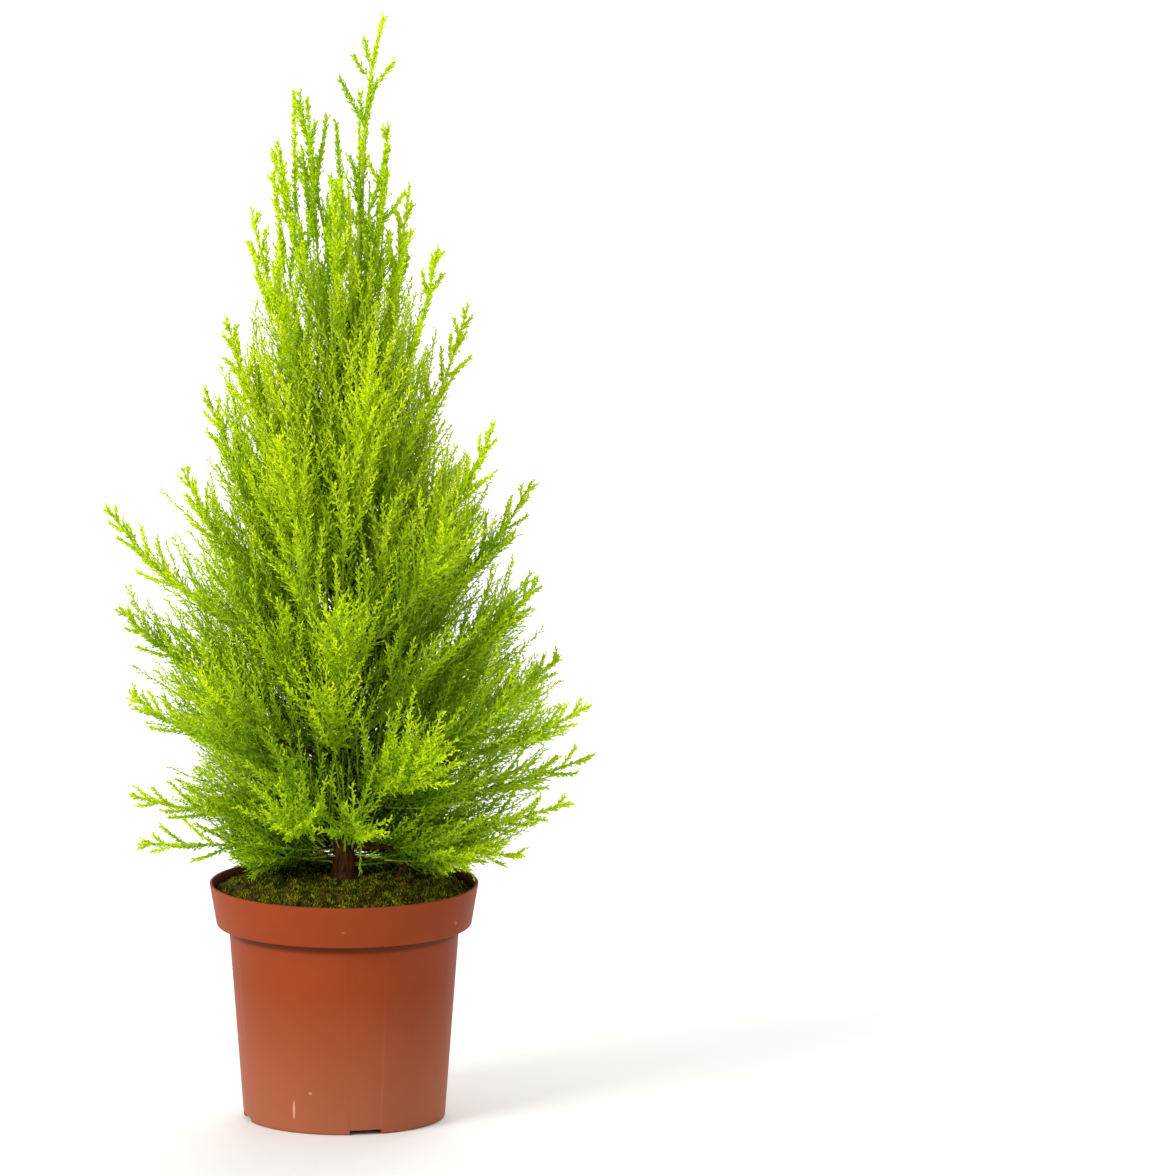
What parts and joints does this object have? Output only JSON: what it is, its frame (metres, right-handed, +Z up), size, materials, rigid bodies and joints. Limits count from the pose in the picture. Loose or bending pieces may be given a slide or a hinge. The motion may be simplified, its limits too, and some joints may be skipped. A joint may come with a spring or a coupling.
{
  "type": "potted lemon cypress",
  "caption": "Young lemon cypress: a cone of upswept lime-green feathery plumes round a slender leaning trunk, in a plain terracotta-coloured nursery pot with a banded rim.",
  "frame": {"origin": "centre of the pot's flat underside, on the plane the pot stands on", "axes": "+Z up along the pot's axis; -Y the front, the side that the picture shows; +X to the right as seen from the front, the way the trunk's top leans"},
  "size_m": [0.2399, 0.218, 0.538],
  "materials": {
    "pot": "satin moulded",
    "soil": "rough, mossy",
    "bark": "rough bark",
    "foliage": "matte leaf"
  },
  "bodies": {
    "root": {"bough_back_09": "bark", "bough_back_10": "bark", "bough_front_09": "bark", "bough_front_10": "bark", "bough_left_09": "bark", "bough_left_10": "bark", "bough_left_11": "bark", "bough_right_09": "bark", "bough_right_10": "bark", "bough_right_11": "bark", "foliage_back_01": "foliage", "foliage_back_02": "foliage", "foliage_back_03": "foliage", "foliage_back_04": "foliage", "foliage_back_05": "foliage", "foliage_back_06": "foliage", "foliage_back_07": "foliage", "foliage_back_08": "foliage", "foliage_back_09": "foliage", "foliage_back_10": "foliage", "foliage_front_01": "foliage", "foliage_front_02": "foliage", "foliage_front_03": "foliage", "foliage_front_04": "foliage", "foliage_front_05": "foliage", "foliage_front_06": "foliage", "foliage_front_07": "foliage", "foliage_front_08": "foliage", "foliage_front_09": "foliage", "foliage_front_10": "foliage", "foliage_leader": "foliage", "foliage_left_01": "foliage", "foliage_left_02": "foliage", "foliage_left_03": "foliage", "foliage_left_04": "foliage", "foliage_left_05": "foliage", "foliage_left_06": "foliage", "foliage_left_07": "foliage", "foliage_left_08": "foliage", "foliage_left_09": "foliage", "foliage_left_10": "foliage", "foliage_left_11": "foliage", "foliage_right_01": "foliage", "foliage_right_02": "foliage", "foliage_right_03": "foliage", "foliage_right_04": "foliage", "foliage_right_05": "foliage", "foliage_right_06": "foliage", "foliage_right_07": "foliage", "foliage_right_08": "foliage", "foliage_right_09": "foliage", "foliage_right_10": "foliage", "foliage_right_11": "foliage", "foliage_side_stem": "foliage", "pot": "pot", "side_stem": "bark", "soil": "soil", "trunk": "bark"}
  },
  "joints": []
}
